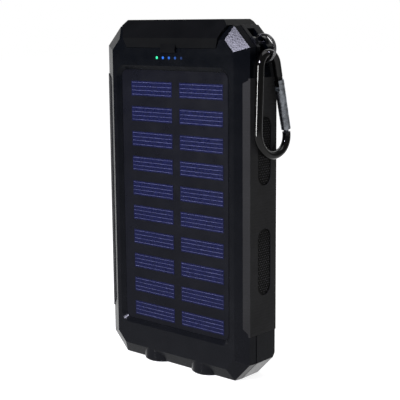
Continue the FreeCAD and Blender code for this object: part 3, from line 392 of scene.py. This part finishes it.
piece("cell_fingers", cell_fingers, finger_metal())
# The dots are painted much paler than the pads: a painted highlight on each dot, besides their real gloss.
dot_rubber_painted_highlight = moulded("pad_dots", (0.022, 0.022, 0.022), (0.035, 0.035, 0.035), 0.35, Specular_IOR_Level=0.3)
for side in SIDES:
    piece(f"{side}_pad_dots", pad_dots(side), dot_rubber_painted_highlight)
soften_edges()


# Floor, light and camera.

def floor():
    """Pale paper, bright enough to merge with the background. The charger doesn't mirror it."""
    bpy.ops.mesh.primitive_plane_add(size=6)
    plane = bpy.context.object
    plane.name = "floor"
    shade = Shade("floor_paper", (0.5, 0.5, 0.5), 0.9, Specular_IOR_Level=0.0, Emission_Strength=0.91)
    shade.shader.inputs["Emission Color"].default_value = (1, 1, 1, 1)
    shade.tint(shade.noise(0.3, 2), (0.50, 0.50, 0.50), (0.52, 0.52, 0.52))
    plane.data.materials.append(shade.material)
    plane.visible_glossy = False


def softbox(name, towards, distance, size, radiance, aim, colour=(1, 1, 1)):
    """An area light in a direction from a point of the object, facing it, as bright as radiance."""
    data = bpy.data.lights.new(name, "AREA")
    data.shape = "RECTANGLE"
    data.size, data.size_y = size
    data.energy = radiance * math.pi * size[0] * size[1]
    data.color = colour
    light = bpy.data.objects.new(name, data)
    away = Vector(towards).normalized()
    light.location = Vector(aim) + away * distance
    light.rotation_euler = away.to_track_quat("Z", "Y").to_euler()
    bpy.context.scene.collection.objects.link(light)


def lights():
    """A key that gleams in the upper right corner facet, a strip along the carabiner and a soft top."""
    corner, carabiner, middle = (0.034, -0.008, 0.138), (0.041, 0.0, 0.11), (0, 0, 0.07)
    softbox("key", (0.071, -0.838, 0.543), 0.5, (0.11, 0.11), 76, corner, (0.80, 0.79, 1.0))
    softbox("strip", (-0.255, -0.95, -0.06), 0.7, (0.06, 0.42), 55, carabiner)
    softbox("top", (0.1, 0.2, 1.0), 0.9, (0.7, 0.7), 0.9, middle)


def camera():
    """A camera to the right of the panel and slightly above the middle, with a hint of roll."""
    azimuth, elevation, roll = math.radians(41.0), math.radians(10.0), math.radians(-0.49)
    distance, shift_right, shift_down = 422.3 * MM, 5.0 * MM, 0.755 * MM
    middle = Vector((0, 0, 71 * MM))
    forward = Vector((-math.sin(azimuth) * math.cos(elevation), math.cos(azimuth) * math.cos(elevation),
                      -math.sin(elevation)))
    right = Vector((math.cos(azimuth), math.sin(azimuth), 0))
    up = right.cross(forward)
    turned_right = right * math.cos(roll) + up * math.sin(roll)
    turned_up = up * math.cos(roll) - right * math.sin(roll)
    place = middle + turned_right * shift_right - turned_up * shift_down - forward * distance
    data = bpy.data.cameras.new("camera")
    data.sensor_width = 36
    data.lens = 91.27
    data.clip_start = 0.01
    viewer = bpy.data.objects.new("camera", data)
    basis = Matrix((turned_right, turned_up, -forward)).transposed()
    viewer.matrix_world = Matrix.Translation(place) @ basis.to_4x4()
    bpy.context.scene.collection.objects.link(viewer)
    bpy.context.scene.camera = viewer


def world():
    """A studio that looks white, but lights the charger from behind and from below.

    To the camera it is white. To everything else it is white behind the charger and dim in front,
    and grows brighter towards the floor.
    """
    studio = bpy.data.worlds.new("studio")
    studio.use_nodes = True
    tree = studio.node_tree

    def node(kind, **settings):
        made = tree.nodes.new("ShaderNode" + kind)
        for name, setting in settings.items():
            setattr(made, name, setting)
        return made

    def ramp(source, low, high, a, b):
        mapped = node("MapRange")
        for socket, level in zip(("From Min", "From Max", "To Min", "To Max"), (low, high, a, b)):
            mapped.inputs[socket].default_value = level
        tree.links.new(source, mapped.inputs["Value"])
        return mapped.outputs["Result"]

    direction = node("TexCoord").outputs["Generated"]
    backward = node("VectorMath", operation="DOT_PRODUCT")
    backward.inputs[1].default_value = (-0.655, 0.755, 0)
    tree.links.new(direction, backward.inputs[0])
    height = node("SeparateXYZ")
    tree.links.new(direction, height.inputs[0])
    lighting = node("Math", operation="ADD")
    tree.links.new(ramp(backward.outputs["Value"], 0.45, 0.8, 0.09, 1.0), lighting.inputs[0])
    tree.links.new(ramp(height.outputs["Z"], -0.03, -0.3, 0, 0.3), lighting.inputs[1])
    white = node("Math", operation="MAXIMUM")
    tree.links.new(node("LightPath").outputs["Is Camera Ray"], white.inputs[0])
    tree.links.new(lighting.outputs[0], white.inputs[1])
    background = tree.nodes["Background"]
    background.inputs["Color"].default_value = (1, 1, 1, 1)
    tree.links.new(white.outputs[0], background.inputs["Strength"])
    bpy.context.scene.world = studio


floor()
lights()
world()
camera()
bpy.context.scene.view_settings.view_transform = "Standard"
